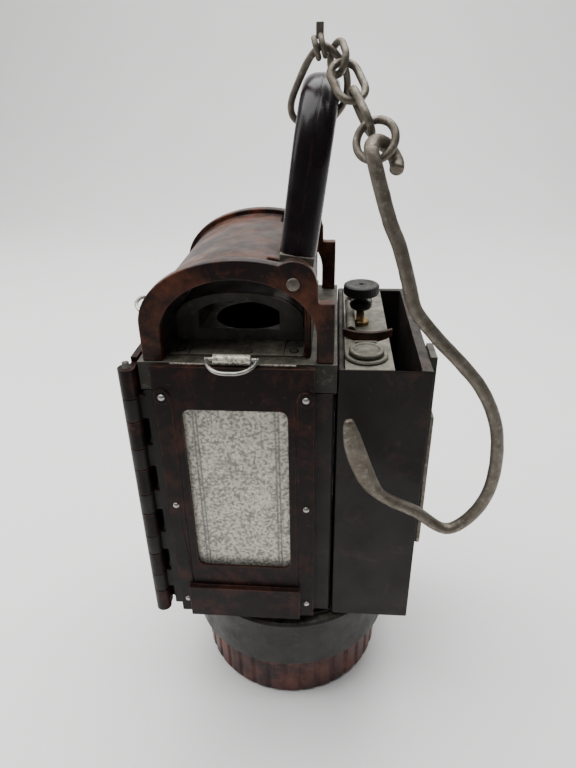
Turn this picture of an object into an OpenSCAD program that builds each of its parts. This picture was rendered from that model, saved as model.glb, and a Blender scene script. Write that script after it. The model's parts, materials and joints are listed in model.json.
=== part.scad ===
// Moulded carbide lantern: a case with a door, a water tank at its side, a hood with
// a swinging handle, a chain with a hanging hook, and a screw-on base for the carbide.
// X runs to the right, Y to the rear and Z up. The origin is the middle of the base's underside.
// All sizes are in millimetres.

/* [Carbide base] */
// Outer radius of the fluted cup
cup_r = 55.7; // [54:0.1:57]
// Height of the fluted band
cup_h = 32.6; // [30:0.1:33]
// Number of flutes around the cup
flute_count = 36; // [24:1:48]
// Radius of the smooth collar above the cup
collar_r = 61; // [58:0.5:62]
// Height of the collar's upper rim
collar_top = 66; // [65:0.1:67]

/* [Case] */
// Height of the case's underside
case_z0 = 68.4; // [68:0.1:69]
// Height of the hood's seat, on top of the pan
seat_z = 223.4; // [220:0.1:226]
// Left face of the lamp chamber
case_x0 = -63; // [-64:0.1:-62]
// Right face of the lamp chamber
case_x1 = 25.3; // [25:0.1:25.6]
// Front rim of the lamp chamber
case_y0 = -49.5; // [-49.5:0.1:-49]
// Rear face of the lamp chamber
case_y1 = 53.6; // [52:0.1:55]
// Thickness of the chamber walls
wall = 3; // [2.5:0.1:3.5]

/* [Door and slides] */
// Front face of the door's cover frame
frame_y = -58.4; // [-58.6:0.1:-58.4]
// Thickness of the cover frames
frame_t = 3; // [2.8:0.1:3]
// Width of a cover frame
frame_w = 72.5; // [70:0.5:73]
// Width of a window opening
window_w = 48.3; // [40:0.1:50]
// Height of a window opening
window_h = 95.3; // [80:0.1:98]
// Corner radius of a window opening
window_corner = 4; // [2:0.5:6]
// Distance from a frame's foot to its window
window_sill = 34.1; // [30:0.1:36]
// Thickness of a sheet slide
slide_t = 0.8; // [0.6:0.1:0.9]
// How far the side slide stands raised
side_slide_raise = 6; // [0:0.5:20]

/* [Hinge] */
// Distance from the middle to the hinge axis
hinge_x = -68; // [-68.2:0.1:-68]
// Outer radius of a hinge knuckle
knuckle_r = 4; // [3.8:0.1:4]
// Radius of the hinge pin
hinge_pin_r = 1.6; // [1.2:0.1:1.8]

/* [Water tank] */
// Left face of the tank box
tank_x0 = 26.3; // [26:0.1:26.5]
// Right face of the tank box
tank_x1 = 67.6; // [66:0.1:68]
// Front face of the tank box
tank_y0 = -53; // [-53.2:0.1:-52]
// Rear face of the tank box
tank_y1 = 56.6; // [55:0.1:57]
// Height of the tank box rim
tank_top = 220.9; // [218:0.1:221]
// Right face of the metal tank
can_tank_x1 = 51.2; // [48:0.1:54]

/* [Hood and handle] */
// Width from the hood's left side to its ellipse's middle
hood_a = 44.5; // [44:0.1:45]
// Height of the hood's ellipse above its spring line
hood_b = 29.3; // [28:0.1:30]
// Sideways place of the handle pivot
pivot_x = 7; // [6:0.1:8]
// Height of the handle pivot
pivot_z = 259.3; // [258:0.1:260]
// Radius of the round boss at the pivot
boss_r = 9.7; // [9:0.1:10]
// Lean of the handle to the right
handle_lean = 8; // [0:1:12]
// Height from the pivot to the middle of the grip
grip_reach = 70.5; // [66:0.5:74]
// Half of the distance between the two handle legs
leg_y = 40.3; // [40:0.1:40.5]

/* [Chain and hook] */
// Radius of the hook's round rod
hook_r = 2.9; // [2.5:0.1:3]
// Distance of the hook's plane in front of the middle
hook_y = -70; // [-72:0.5:-69]

/* [Hidden] */

$fn = 48;

// Colours
bakelite = "#3a1e18";
bakelite_dark = "#1d1715";
collar_grey = "#33322f";
galvanised = "#77766a";
tinplate = "#b9b9b0";
dark_sheet = "#2c2b27";
rust_steel = "#5d574c";
bright_steel = "#a7a59b";
brass_dull = "#8a7138";
rubber = "#1b1b1b";
glass_tint = "#a9c4bb";
steatite = "#e2dccb";

// Gaps
gap = 0.3; // between parts that move apart
play = 0.06; // radial play of a running fit
cut = 1; // overrun of a cutting solid

// Heights that follow from the case
frame_z0 = seat_z - 151.5;
leaf_z0 = frame_z0 + 0.5;
pan_h = 14;
pan_t = 1;
leaf_z1 = seat_z - pan_h - 0.4;
floor_top = case_z0 + wall;
window_z0 = frame_z0 + window_sill + 0.5;
window_z1 = window_z0 + window_h;

// The door's layers, from front to back
frame_back = frame_y + frame_t;
slide_y0 = frame_back + gap;
slide_y1 = slide_y0 + slide_t;
leaf_y0 = slide_y1 + gap;
leaf_y1 = case_y0 - gap;
frame_x0 = -56;
frame_x1 = frame_x0 + frame_w;
window_x = frame_x0 + frame_w / 2 - 0.1;
leaf_x1 = 24.3;
rail_w = 6;
hinge_y = frame_y + knuckle_r;

// The side window's layers, from the chamber outwards
side_slide_x1 = case_x0 - gap;
side_slide_x0 = side_slide_x1 - slide_t;
side_frame_x1 = side_slide_x0 - gap;
side_frame_x0 = side_frame_x1 - frame_t;
side_y0 = case_y0 + 0.5;
side_y1 = side_y0 + frame_w;
side_window_y = (side_y0 + side_y1) / 2;

// Hinge knuckles, counted from the bottom: even ones belong to the case
hinge_z0 = frame_z0 - 1.7;
case_knuckle_h = 14.9;
door_knuckle_h = 12.3;
knuckle_pitch = case_knuckle_h + door_knuckle_h;
door_knuckles = 5;

// Glass panes
glass_t = 1.5;
glass_lap = 3;
glass_play = 0.1;

// Rivets
rivet_r = 1.65;
rivet_h = 1.1;
shank_r = 1;
hole_play = 0.05;

// Finger rings of the slides
ring_wire = 0.9;
ring_half = 11;
ring_bend = 9.5;
curl_w = 16.5;
curl_r = 2.2;
curl_bore = 1.1;
curl_z = seat_z + 2.9;
front_curl_y = frame_back - 0.3;
side_curl_x = side_frame_x1 - 0.3;

// Hood
hood_mid = -16;
hood_spring = 240;
hood_y0 = -52.9;
hood_y1 = 53;
arch_t = 6;
vault_drop = 3;
vault_t = 3;
mouth_mid = -17.2;
mouth_spring = 235.5;
mouth_a = 34.1;
mouth_b = 25.3;
arch_x1 = 17.3;
leg_x1 = 24.4;
leg_step_z = 251;
pivot_r = 2.5;

// Handle
leg_half_x = 7.6;
leg_half_y = 6;
grip_bend = 26;
foot_top = 10;

// Water tank
tank_wall = 4.8;
tank_left_wall = 3;
tank_floor_z = case_z0 + 3.6;
sheet = 1;
vent_x = 32.4;
valve_x = 37.6;
valve_y = 1.7;
filler_x = 39.2;
filler_y = -38.5;
spindle_r = 2;
drip_r = 3;
drip_bore = 1.6;
lid_hinge_y = filler_y + 9.4;
lid_hinge_z = tank_top + 3.2;
knob_z = 228.4;

// Burner
burner_x = -18;
burner_y = 2;
pipe_r = 4;
pipe_bore = 2.5;

// Base
neck_r = 51.4;
neck_top = 46;
collar_bore = neck_r + 0.4;
plate_z = 62;
can_r = 48;
can_top = 57.2;

// Chain, from the sling outwards: the half length, half width and wire radius of each link
link_half = [6, 8.4, 8.7, 7.3];
link_side = [4.8, 5.3, 5.3, 7.3];
link_wire = [1.4, 1.5, 1.5, 1.55];
link_turn = [-15, -70, 35, -40];
chain_start = [22.8, -29.3, 341.3];
first_way = unit([4, -11, -9.8]);
chain_way = unit([40, -56.5, -72]);
chain_slack = 0.5;
first_slack = 1.2;
sling_wire = 1.5;
sling_top = [-30, 344];
sling_tilt = 0.25;

// ---------- helpers ----------

function unit(v) = v / norm(v);

function ellipse_arc(mid, a, b, from, to, steps) =
    [for (i = [0 : steps]) let (t = from + (to - from) * i / steps) mid + [a * cos(t), b * sin(t)]];

function spline_point(a, b, c, d, t) =
    0.5 * (2 * b + (c - a) * t + (2 * a - 5 * b + 4 * c - d) * t * t
        + (3 * b - a - 3 * c + d) * t * t * t);

// A smooth route through the points of p
function smooth_route(p, steps) = [
    for (i = [0 : len(p) - 2], s = [0 : steps - 1])
        spline_point(p[max(i - 1, 0)], p[i], p[i + 1], p[min(i + 2, len(p) - 1)], s / steps),
    p[len(p) - 1]
];

// A smooth closed route through the points of p
function smooth_loop(p, steps) = let (n = len(p)) [
    for (i = [0 : n - 1], s = [0 : steps - 1])
        spline_point(p[(i + n - 1) % n], p[i], p[(i + 1) % n], p[(i + 2) % n], s / steps)
];

// One ring of a tube: a is its half width along side and b its half width across
function tube_ring(mid, way, side, a, b, n) =
    let (m = unit(cross(side, way)), s = cross(way, m))
    [for (k = [0 : n - 1]) mid + a * cos(360 * k / n) * s + b * sin(360 * k / n) * m];

function tube_sides(rings, n, closed) = [
    for (i = [0 : rings - (closed ? 1 : 2)], k = [0 : n - 1], half = [0, 1])
        let (j = (i + 1) % rings, l = (k + 1) % n)
        half == 0 ? [i * n + k, i * n + l, j * n + l] : [i * n + k, j * n + l, j * n + k]
];

// A solid tube along an open route, with its own half widths at each point
module open_tube(route, side, across, along, n = 12) {
    count = len(route);
    points = [
        for (i = [0 : count - 1])
            each tube_ring(route[i], unit(route[min(i + 1, count - 1)] - route[max(i - 1, 0)]),
                side, across[i], along[i], n)
    ];
    caps = [[for (k = [n - 1 : -1 : 0]) k], [for (k = [0 : n - 1]) (count - 1) * n + k]];
    polyhedron(points, concat(tube_sides(count, n, false), caps));
}

// A closed loop of round wire
module loop_tube(route, side, r, n = 12) {
    count = len(route);
    points = [
        for (i = [0 : count - 1])
            each tube_ring(route[i], unit(route[(i + 1) % count] - route[(i + count - 1) % count]),
                side, r, r, n)
    ];
    polyhedron(points, tube_sides(count, n, true));
}

module block(x, y, z) {
    translate([x[0], y[0], z[0]]) cube([x[1] - x[0], y[1] - y[0], z[1] - z[0]]);
}

module rod_x(x, y, z, r) {
    translate([x[0], y, z]) rotate([0, 90, 0]) cylinder(h = x[1] - x[0], r = r);
}

module rod_y(x, y, z, r) {
    translate([x, y[1], z]) rotate([90, 0, 0]) cylinder(h = y[1] - y[0], r = r);
}

module rod_z(x, y, z, r) {
    translate([x, y, z[0]]) cylinder(h = z[1] - z[0], r = r);
}

module round_rect(w, h, r) {
    square([w - 2 * r, h], center = true);
    square([w, h - 2 * r], center = true);
    for (x = [-1, 1], y = [-1, 1]) translate([x * (w / 2 - r), y * (h / 2 - r)]) circle(r);
}

// A sheet that stands in the XZ plane, from y0 to y1, with its outline drawn in X and Z
module upright(y0, y1) {
    translate([0, y1, 0]) rotate([90, 0, 0]) linear_extrude(y1 - y0) children();
}

// A rivet along +Z: a domed head from z = 0 up, and its shank below
module rivet(r, h, shank, length) {
    rotate_extrude() polygon(concat(
        [[0, -length], [shank, -length], [shank, 0]],
        ellipse_arc([0, 0], r, h, 0, 90, 5)));
}

// The places of a cover frame's six rivets, from its middle
function frame_rivets() = [for (side = [-1, 1], z = [9.3, 74.5, 136.5]) [side * 32.4, z]];

module window_shape(grow) {
    translate([0, window_z0 + window_h / 2])
        round_rect(window_w + 2 * grow, window_h + 2 * grow, window_corner + max(grow, 0));
}

// ---------- base ----------

module carbide_cup() {
    flute_r = 2.6;
    floor_t = 4;
    bowl_r = 48.8;
    color(bakelite) difference() {
        union() {
            rotate_extrude($fn = 144) polygon([
                [0, 0], [cup_r - 2.5, 0], [cup_r - 0.8, 0.7], [cup_r, 2.4], [cup_r, cup_h - 1],
                [cup_r - 1, cup_h], [neck_r, cup_h], [neck_r, neck_top], [bowl_r, neck_top],
                [bowl_r, floor_t], [0, floor_t]]);
        }
        for (i = [0 : flute_count - 1])
            rotate([0, 0, i * 360 / flute_count])
                translate([cup_r + flute_r - 0.9, 0, -cut]) cylinder(h = cup_h + 2 * cut, r = flute_r, $fn = 24);
    }
}

module carbide_can() {
    floor_z = 4.4;
    color(galvanised) rotate_extrude($fn = 96) polygon([
        [0, floor_z], [can_r, floor_z], [can_r, can_top - 2], [can_r + 2.6, can_top - 2],
        [can_r + 2.6, can_top], [can_r - sheet, can_top], [can_r - sheet, floor_z + sheet],
        [0, floor_z + sheet]]);
}

module base_gasket() {
    inner = 43;
    color(rubber) rotate_extrude($fn = 96)
        polygon([[inner, can_top + 0.4], [collar_bore - 0.3, can_top + 0.4],
            [collar_bore - 0.3, plate_z], [inner, plate_z]]);
}

module base_collar() {
    neck = 56;
    color(collar_grey) difference() {
        rotate_extrude($fn = 144) polygon([
            [0, plate_z], [collar_bore, plate_z], [collar_bore, cup_h + 0.4],
            [collar_r - 0.6, cup_h + 0.4], [collar_r, cup_h + 1], [collar_r, collar_top - 1.4],
            [collar_r - 1.4, collar_top], [neck, collar_top], [neck, case_z0], [0, case_z0]]);
        rod_z(burner_x, burner_y, [plate_z - cut, case_z0 + cut], pipe_r + hole_play);
        rod_z(valve_x, valve_y, [plate_z - cut, case_z0 + cut], drip_r + hole_play);
    }
}

// ---------- case ----------

module case_body() {
    lip = 7;
    spacer = 5;
    color(bakelite_dark) difference() {
        union() {
            block([case_x0, case_x1], [case_y0, case_y1], [case_z0, seat_z - pan_t - 0.2]);
            // Packing strips between the chamber and the side frame
            for (y = [side_y0, side_y1 - spacer])
                block([side_frame_x1, case_x0], [y, y + spacer], [frame_z0, seat_z - pan_h - 0.4]);
        }
        // Room for the pan's flange
        difference() {
            block([case_x0 - cut, case_x1 + cut], [case_y0 - cut, case_y1 + cut],
                [seat_z - pan_h, seat_z]);
            block([case_x0 + 2, case_x1 - 2], [case_y0 + 2, case_y1 - 2],
                [seat_z - pan_h - cut, seat_z + cut]);
        }
        // The chamber
        block([case_x0 + wall, case_x1 - wall], [case_y0 + wall, case_y1 - wall],
            [floor_top, seat_z + cut]);
        // The doorway
        block([case_x0 + lip, case_x1 - lip], [case_y0 - cut, case_y0 + wall + cut],
            [floor_top + lip, seat_z - pan_h - lip]);
        // The side window
        translate([case_x0 - cut, side_window_y, 0]) rotate([0, 0, 90])
            upright(-wall - 2 * cut, 0) window_shape(-1);
        rod_z(burner_x, burner_y, [case_z0 - cut, floor_top + cut], pipe_r + hole_play);
        for (p = frame_rivets())
            rod_x([case_x0 - cut - wall, case_x0 + wall + cut], side_window_y + p[0],
                frame_z0 + p[1], shank_r + hole_play);
    }
}

// The plate of a cover frame, drawn in X and Z about its own middle, with its window and rivet holes
module cover_frame_plate() {
    difference() {
        upright(0, frame_t) difference() {
            translate([0, (frame_z0 + seat_z) / 2]) square([frame_w, seat_z - frame_z0], center = true);
            window_shape(0);
        }
        // The rebate that holds the glass
        upright(frame_t - glass_t - glass_play, frame_t + cut) window_shape(glass_lap);
        for (p = frame_rivets())
            rod_y(p[0], [-cut, frame_t + cut], frame_z0 + p[1], shank_r + hole_play);
        // Two shallow lines beside the window
        for (side = [-1, 1])
            block([side * 28 - 0.4, side * 28 + 0.4], [-cut, 0.4], [frame_z0 + 21, seat_z - 16]);
    }
}

module side_frame() {
    color(bakelite) difference() {
        union() {
            translate([side_frame_x0, side_window_y, 0]) rotate([0, 0, -90]) cover_frame_plate();
            for (i = [0 : door_knuckles])
                let (z = [hinge_z0 + i * knuckle_pitch, hinge_z0 + i * knuckle_pitch + case_knuckle_h - gap]) {
                    rod_z(hinge_x, hinge_y, z, knuckle_r);
                    block([side_frame_x0, side_frame_x1], [hinge_y, side_y0], z);
                }
        }
        rod_z(hinge_x, hinge_y, [hinge_z0 - cut, seat_z], hinge_pin_r + 0.02);
    }
}

module side_glass() {
    color(glass_tint, 0.4) translate([side_frame_x0, side_window_y, 0]) rotate([0, 0, -90])
        upright(frame_t - glass_t, frame_t) window_shape(glass_lap - 0.2);
}

module side_rivets() {
    color(bright_steel) for (p = frame_rivets())
        translate([side_frame_x0, side_window_y + p[0], frame_z0 + p[1]]) rotate([0, -90, 0])
            rivet(rivet_r, rivet_h, shank_r, frame_t + wall);
}

module hinge_pin() {
    head_r = 2.6;
    top = hinge_z0 + door_knuckles * knuckle_pitch + case_knuckle_h;
    color(dark_sheet) {
        rod_z(hinge_x, hinge_y, [hinge_z0, top + 2.2], hinge_pin_r);
        rod_z(hinge_x, hinge_y, [hinge_z0 - 1.2, hinge_z0], head_r);
    }
}

module top_pan() {
    vent = 19;
    x = [case_x0, case_x1 + 0.7];
    y = [leaf_y0 + 0.3, case_y1 + 1.2];
    color(galvanised) difference() {
        block(x, y, [seat_z - pan_h, seat_z]);
        block([x[0] + pan_t, x[1] - pan_t], [case_y0 - 0.2, y[1] - pan_t],
            [seat_z - pan_h - cut, seat_z - pan_t]);
        block([x[0] + pan_t, x[1] - pan_t], [y[0] + pan_t, case_y0],
            [seat_z - pan_h - cut, seat_z - pan_t]);
        rod_z(burner_x, burner_y, [seat_z - 2 * cut, seat_z + cut], vent);
    }
}

module hood_plate() {
    vent = 19;
    color(galvanised) difference() {
        block([-41, 1.8], [-46.5, 46.5], [seat_z, seat_z + sheet]);
        rod_z(burner_x, burner_y, [seat_z - cut, seat_z + 2 * cut], vent);
    }
}

function tab_places() = [for (x = [-45.6, 6.4], y = [-42, 42]) [x, y]];

module corner_tabs() {
    color(galvanised) for (p = tab_places()) difference() {
        block([p[0] - 4.4, p[0] + 4.4], [p[1] - 4.4, p[1] + 4.4], [seat_z, seat_z + sheet]);
        rod_z(p[0], p[1], [seat_z - cut, seat_z + 2 * cut], shank_r + hole_play);
    }
}

module hood_screws() {
    color(dark_sheet) {
        for (p = tab_places()) translate([p[0], p[1], seat_z + sheet])
            rivet(2.3, 1.2, shank_r, sheet);
        translate([-14, -43.5, seat_z + sheet]) rivet(1.9, 1, shank_r, 0);
    }
}

// ---------- hood ----------

// The hood's outline in X and Z: an ellipse on straight sides
module hood_outline(inset) {
    polygon(concat(
        [[arch_x1 - inset, seat_z], [arch_x1 - inset, hood_spring + hood_b * 0.66]],
        ellipse_arc([hood_mid, hood_spring], hood_a - inset, hood_b - inset, 48, 180, 30),
        [[hood_mid - hood_a + inset, seat_z]]));
}

module mouth_outline() {
    polygon(concat([[mouth_mid + mouth_a, seat_z - cut]],
        ellipse_arc([mouth_mid, mouth_spring], mouth_a, mouth_b, 0, 180, 36),
        [[mouth_mid - mouth_a, seat_z - cut]]));
}

module arch_outline() {
    difference() {
        union() {
            hood_outline(0);
            translate([pivot_x, pivot_z]) circle(boss_r);
            translate([pivot_x, seat_z]) square([boss_r, pivot_z - seat_z]);
            translate([pivot_x, seat_z]) square([leg_x1 - pivot_x, leg_step_z - seat_z]);
        }
        mouth_outline();
    }
}

module hood() {
    notch_x = -5;
    notch_y = leg_y + leg_half_y + 0.7;
    notch_in = leg_y - leg_half_y - 0.7;
    color(bakelite) difference() {
        union() {
            upright(hood_y0, hood_y0 + arch_t) arch_outline();
            upright(hood_y1 - arch_t, hood_y1) arch_outline();
            difference() {
                upright(hood_y0 + arch_t, hood_y1 - arch_t) difference() {
                    hood_outline(vault_drop);
                    hood_outline(vault_drop + vault_t);
                    translate([hood_mid - hood_a, seat_z - cut]) square([2 * hood_a, cut]);
                }
                // Slots for the feet of the handle
                for (y = [[-notch_y, -notch_in], [notch_in, notch_y]])
                    block([notch_x, arch_x1 + cut], y, [leg_step_z, seat_z + 60]);
            }
        }
        rod_y(pivot_x, [hood_y0 - cut, hood_y1 + cut], pivot_z, pivot_r + hole_play);
    }
}

module inner_chimney() {
    mid = -20;
    half = 29.8;
    rise = 23;
    spring = seat_z + sheet + 0.5;
    plate_y = 30.5;
    slot_w = 38;
    slot_z = [230, 242];
    color(dark_sheet) {
        for (y = [-plate_y, plate_y - 1.2]) upright(y, y + 1.2) difference() {
            polygon(concat([[mid + half, seat_z + sheet], [mid + half, spring + 10]],
                ellipse_arc([mid, spring + 10], half, rise - 10, 0, 180, 24),
                [[mid - half, seat_z + sheet]]));
            intersection() {
                translate([mid - slot_w / 2, slot_z[0]]) square([slot_w, slot_z[1] - slot_z[0] + 4]);
                polygon(ellipse_arc([mid, slot_z[0] + 2], slot_w / 2 + 4, 12, 0, 360, 40));
            }
        }
        // The cowl between the two plates
        upright(-plate_y + 1.2, plate_y - 1.2) polygon(concat(
            ellipse_arc([mid, spring + 10], half, rise - 10, 10, 170, 20),
            ellipse_arc([mid, spring + 10], half - 1, rise - 11, 170, 10, 20)));
    }
}

module pivot_rivets() {
    head_r = 2.9;
    head_h = 0.9;
    for (front = [true, false]) color(rust_steel)
        translate([pivot_x, front ? hood_y0 : hood_y1, pivot_z]) rotate([front ? 90 : -90, 0, 0])
            rivet(head_r, head_h, pivot_r, arch_t + 10.5);
}

// ---------- handle ----------

// Puts a shape drawn about the pivot, with its Z along the legs, into its place
module on_pivot() {
    translate([pivot_x, 0, pivot_z]) rotate([0, handle_lean, 0]) children();
}

function bend(side, steps) = [
    for (i = [0 : steps]) let (t = 180 - 90 * i / steps)
        [0, side * (grip_bend * cos(t) - leg_y + grip_bend),
            grip_reach - grip_bend + grip_bend * sin(t)]
];

module handle_grip() {
    rise = [for (z = [foot_top, foot_top + 6, foot_top + 20, grip_reach - grip_bend - 4]) [0, -leg_y, z]];
    front = bend(1, 8);
    across = [for (y = [-9, -4, 4, 9]) [0, y, grip_reach]];
    half = concat(rise, front);
    route = concat(half, across, [for (i = [len(half) - 1 : -1 : 0]) [0, -half[i][1], half[i][2]]]);
    wide = [for (p = route) leg_half_x + 0.3 * cos(p[1] * 2)];
    thick = [for (p = route) leg_half_y + 0.9 * max(0, p[2] - 20) / grip_reach];
    color(bakelite_dark) on_pivot() open_tube(route, [1, 0, 0], wide, thick, 20);
}

module handle_feet() {
    half = 7.3;
    color(galvanised) on_pivot() for (side = [-1, 1]) difference() {
        union() {
            rod_y(0, [side * leg_y - leg_half_y, side * leg_y + leg_half_y], 0, half);
            block([-half, half], [side * leg_y - leg_half_y, side * leg_y + leg_half_y], [0, foot_top]);
        }
        rod_y(0, [side * leg_y - leg_half_y - cut, side * leg_y + leg_half_y + cut], 0, pivot_r + play);
    }
}

// ---------- chain and hook ----------

module sling() {
    points = [[19, 344], [26, 337], [26.5, 326], [19, 317.5], [8, 318], [5, 324], [9, 334], [14, 342]];
    place = [for (p = points) [p[0], sling_top[0] + (sling_top[1] - p[1]) * sling_tilt, p[1]]];
    color(rust_steel) loop_tube(smooth_loop(place, 6), [0, 1, 0], sling_wire);
}

module sling_tab() {
    coil = [16.4, -30, 343.9];
    coil_r = 3.35;
    coil_wire = 1.1;
    half_pitch = 1.3;
    strip_top = 352;
    color(rust_steel) {
        // Two turns of wire round the top of the sling
        translate(coil) rotate([0, 90 - 16, 0]) for (side = [-1, 1])
            translate([0, 0, side * half_pitch]) rotate_extrude() translate([coil_r, 0])
                circle(coil_wire, $fn = 20);
        // The flat strip that stands up from them
        block([15, 17.9], [coil[1] - 0.7, coil[1] + 0.7], [coil[2] + 2.6, strip_top]);
    }
}

// The first link hangs off the sling in a direction of its own, and the rest follow one line
function link_way(i) = i == 0 ? first_way : chain_way;
function link_foot(i) = link_mid(i) + link_way(i) * (link_half[i] - link_wire[i]);
function link_mid(i) = i == 0
    ? chain_start + first_way * (link_half[0] - link_wire[0] - sling_wire - first_slack)
    : link_foot(i - 1) + chain_way * (link_half[i] - link_wire[i] - chain_slack);

// A link drawn in XY with its length along X
module link_shape(half, side, wire) {
    run = half - side;
    for (end = [-1, 1]) translate([end * run, 0, 0]) rotate([0, 0, end * 90 - 90])
        rotate([0, 0, -90]) rotate_extrude(angle = 180) translate([side, 0]) circle(wire, $fn = 20);
    if (run > 0) for (y = [-side, side]) rod_x([-run, run], y, 0, wire);
}

module chain_link(i) {
    way = link_way(i);
    yaw = atan2(way[1], way[0]);
    pitch = asin(way[2]);
    color(rust_steel) translate(link_mid(i)) rotate([0, -pitch, yaw]) rotate([link_turn[i] + 90, 0, 0])
        link_shape(link_half[i], link_side[i], link_wire[i]);
}

module chain_link_1() {
    chain_link(0);
}

module chain_link_2() {
    chain_link(1);
}

module chain_link_3() {
    chain_link(2);
}

module chain_link_4() {
    chain_link(3);
}

module hook() {
    eye_r = 6.5;
    eye_turn = 52;
    eye_tilt = 36;
    eye_mid = link_mid(3) + chain_way * (link_half[3] + 0.5);
    // The eye's two directions: level, and up its leaning plane
    level = [cos(eye_turn), sin(eye_turn), 0];
    up = [-sin(eye_tilt) * sin(eye_turn), sin(eye_tilt) * cos(eye_turn), cos(eye_tilt)];
    eye = [for (t = [-60 : 30 : 180]) eye_mid + eye_r * (cos(t) * level + sin(t) * up)];
    // The shaft eases forward from the eye to the plane the hook lies in
    neck = [[42.5, 3.5, 289.5], [47, 1, 279.5]];
    shaft = [[51, 267], [55, 255], [64, 244], [84, 222], [94, 197],
        [93, 166], [79, 148], [63, 158], [49, 165], [41, 174], [34, 192], [31, 206]];
    route = smooth_route(concat(eye, [for (p = neck) [p[0], hook_y + p[1], p[2]]],
        [for (p = shaft) [p[0], hook_y, p[1]]]), 4);
    count = len(route);
    spade = 12;
    across = [for (i = [0 : count - 1])
        i > count - spade ? hook_r - 1.6 * (i - count + spade) / spade
        : i == 0 ? hook_r - 0.8 : hook_r];
    along = [for (i = [0 : count - 1]) let (k = (i - count + spade) / spade)
        i > count - spade ? max(hook_r + 2.2 * sin(180 * k) - 1.9 * k * k * k, 0.7)
        : i == 0 ? hook_r - 0.8 : hook_r];
    color(rust_steel) open_tube(route, [0, 1, 0], across, along, 14);
}

// ---------- water tank ----------

module tank_box() {
    color(bakelite_dark) difference() {
        block([tank_x0, tank_x1], [tank_y0, tank_y1], [case_z0, tank_top]);
        block([tank_x0 + tank_left_wall, tank_x1 - tank_wall], [tank_y0 + 1.1, tank_y1 - 4],
            [tank_floor_z, tank_top + cut]);
        rod_z(valve_x, valve_y, [case_z0 - cut, tank_floor_z + cut], drip_r + hole_play);
        for (z = [176, 210]) rod_x([tank_x1 - tank_wall - cut, tank_x1 + cut], -34, z, shank_r + hole_play);
    }
}

module water_tank() {
    x = [tank_x0 + tank_left_wall + 0.1, can_tank_x1];
    y = [tank_y0 + 1.2, tank_y1 - 4.1];
    z = [tank_floor_z, tank_top - 0.3];
    color(galvanised) difference() {
        block(x, y, z);
        block([x[0] + sheet, x[1] - sheet], [y[0] + sheet, y[1] - sheet], [z[0] + sheet, z[1] - sheet]);
        rod_z(valve_x, valve_y, [z[0] - cut, z[0] + 2 * cut], drip_r + hole_play);
        rod_z(valve_x, valve_y, [z[1] - 2 * cut, z[1] + cut], 3.55);
        rod_z(filler_x, filler_y, [z[1] - 2 * cut, z[1] + cut], 8.45);
        rod_z(vent_x, 15, [z[1] - 2 * cut, z[1] + cut], 1.85);
    }
}

module filler_neck() {
    bore = 7.2;
    flange = 9.9;
    top = tank_top - 0.3;
    color(galvanised) translate([filler_x, filler_y, 0]) rotate_extrude() polygon([
        [bore, top - 8], [8.4, top - 8], [8.4, top], [flange, top], [flange, top + 0.9],
        [flange - 0.5, top + 1.5], [bore, top + 1.5]]);
}

module vent_tube() {
    x = vent_x;
    z = tank_top + 4.2;
    outer = 2.3;
    bore = 1.4;
    color(galvanised) difference() {
        union() {
            rod_y(x, [-19, 17], z, outer);
            rod_z(x, 15, [tank_top - 5, z], 1.8);
        }
        rod_y(x, [-20, 16.3], z, bore);
        rod_z(x, 15, [tank_top - 6, z], 1);
    }
}

module rear_cap() {
    top = tank_top - 0.3;
    color(dark_sheet) translate([38, 33, top]) rotate_extrude() polygon(concat(
        [[0, 0], [7.5, 0], [7.5, 2], [6.2, 2.4], [6.2, 6]],
        ellipse_arc([0, 6], 6.2, 2.5, 0, 90, 5)));
}

module valve_gland() {
    top = tank_top - 0.3;
    color(brass_dull) translate([valve_x, valve_y, 0]) rotate_extrude() polygon([
        [spindle_r + play, top - 6], [3.5, top - 6], [3.5, top], [4.6, top], [4.6, top + 2],
        [3.6, top + 2.6], [spindle_r + play, top + 2.6]]);
}

module drip_tube() {
    color(brass_dull) difference() {
        rod_z(valve_x, valve_y, [50, tank_floor_z + 2], drip_r);
        rod_z(valve_x, valve_y, [50 - cut, tank_floor_z + 2 + cut], drip_bore);
    }
}

module valve_spindle() {
    z0 = tank_floor_z + 2.6;
    color(brass_dull) {
        rod_z(valve_x, valve_y, [z0 + 4, knob_z + 2], spindle_r);
        translate([valve_x, valve_y, z0]) cylinder(h = 4, r1 = 0.8, r2 = spindle_r);
    }
}

module valve_knob() {
    z = knob_z;
    color(dark_sheet) translate([valve_x, valve_y, 0]) rotate_extrude() polygon([
        [spindle_r + play, z], [3.4, z], [5, z + 0.8], [5.6, z + 2.6], [5, z + 4.4], [3.4, z + 5],
        [3.2, z + 7.4], [7.6, z + 8], [8.9, z + 8.9], [8.9, z + 12.6], [8.2, z + 13.3],
        [1.2, z + 13.3], [1.2, z + 12.2], [0, z + 12.2], [0, z + 2.4], [spindle_r + play, z + 2.4]]);
}

module filler_cap() {
    z = tank_top + 1.6;
    lid = 8;
    color(galvanised) {
        translate([filler_x, filler_y, 0]) rotate_extrude() polygon([
            [0, z], [lid, z], [lid, z + 1.4], [lid - 0.7, z + 2.1], [6.2, z + 2.1], [5.8, z + 1.5],
            [0, z + 1.5]]);
        difference() {
            block([filler_x - 3, filler_x + 3], [filler_y + 5, lid_hinge_y], [z, z + 1.4]);
            rod_z(filler_x, filler_y, [z - cut, z + 3], lid);
        }
        rod_x([filler_x - 5, filler_x + 5], lid_hinge_y, lid_hinge_z - 0.6, 0.9);
    }
}

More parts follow.
